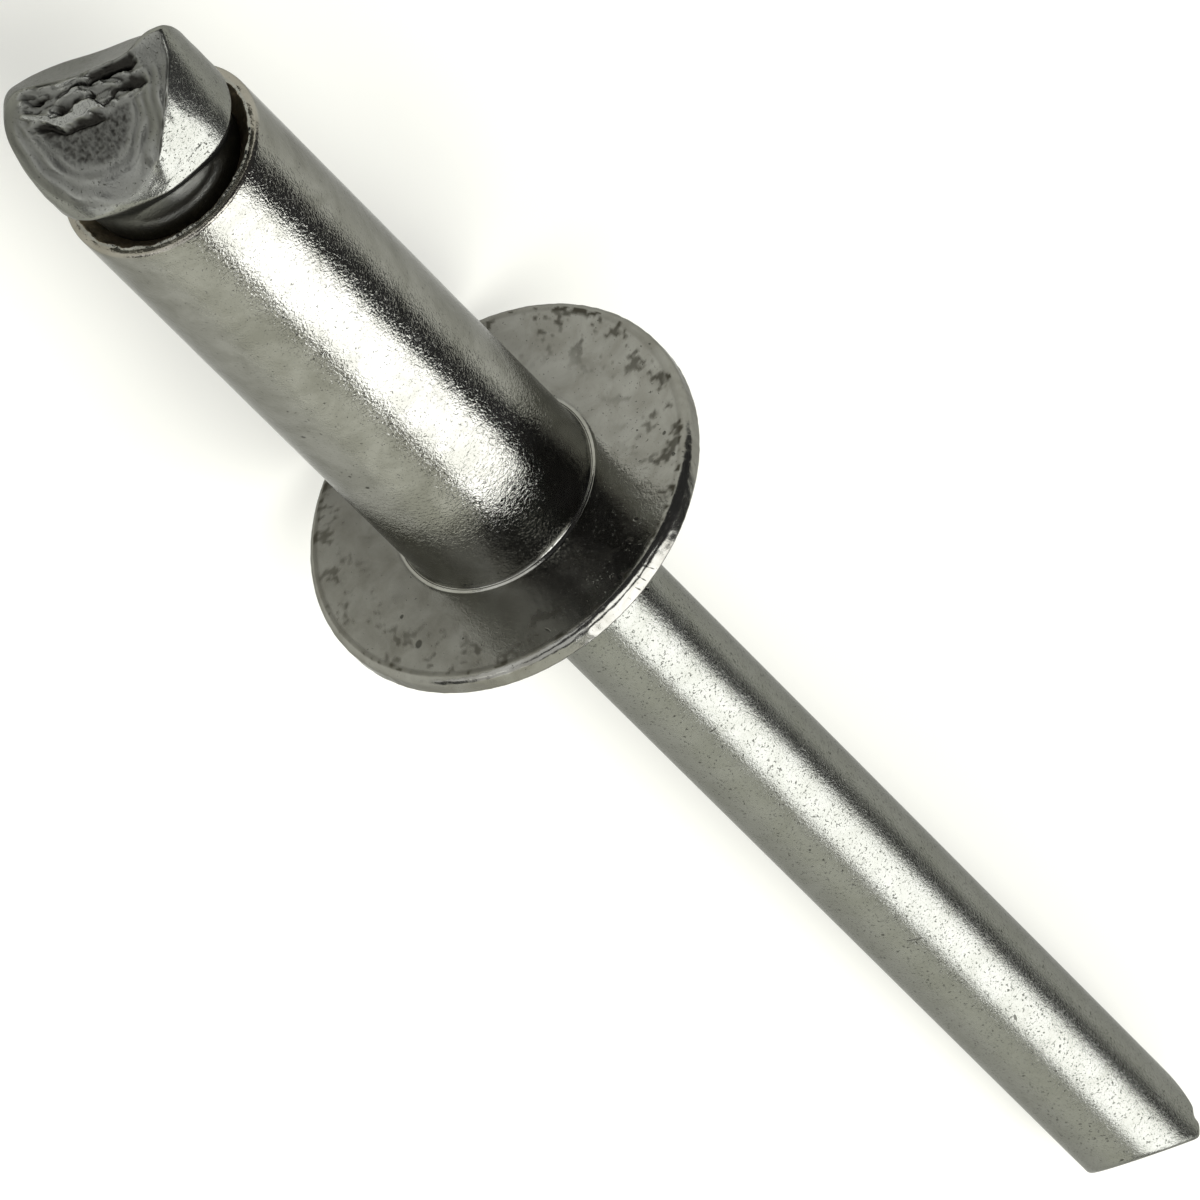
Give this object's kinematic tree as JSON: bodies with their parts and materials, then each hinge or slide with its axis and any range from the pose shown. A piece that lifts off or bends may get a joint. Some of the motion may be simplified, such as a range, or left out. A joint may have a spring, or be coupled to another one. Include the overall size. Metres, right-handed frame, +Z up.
{
  "type": "blind rivet",
  "caption": "Open-end blind rivet with a domed round head and its break-stem mandrel, unset, lying on its rim and the tip of its stem.",
  "frame": {"origin": "centre of the rivet's box on the surface it lies on", "axes": "+X along the rivet towards the tip of the stem, which is the low end; +Z up; the rivet's own axis falls 6.62 degrees from level towards +X"},
  "size_m": [0.049, 0.0096, 0.0095],
  "materials": {
    "rivet_body": "bright cold-formed steel, satin from the die, finely scuffed",
    "mandrel": "bright drawn steel wire with torn, pinched ends"
  },
  "bodies": {
    "root": {"rivet_body": "rivet_body", "mandrel": "mandrel"}
  },
  "joints": []
}
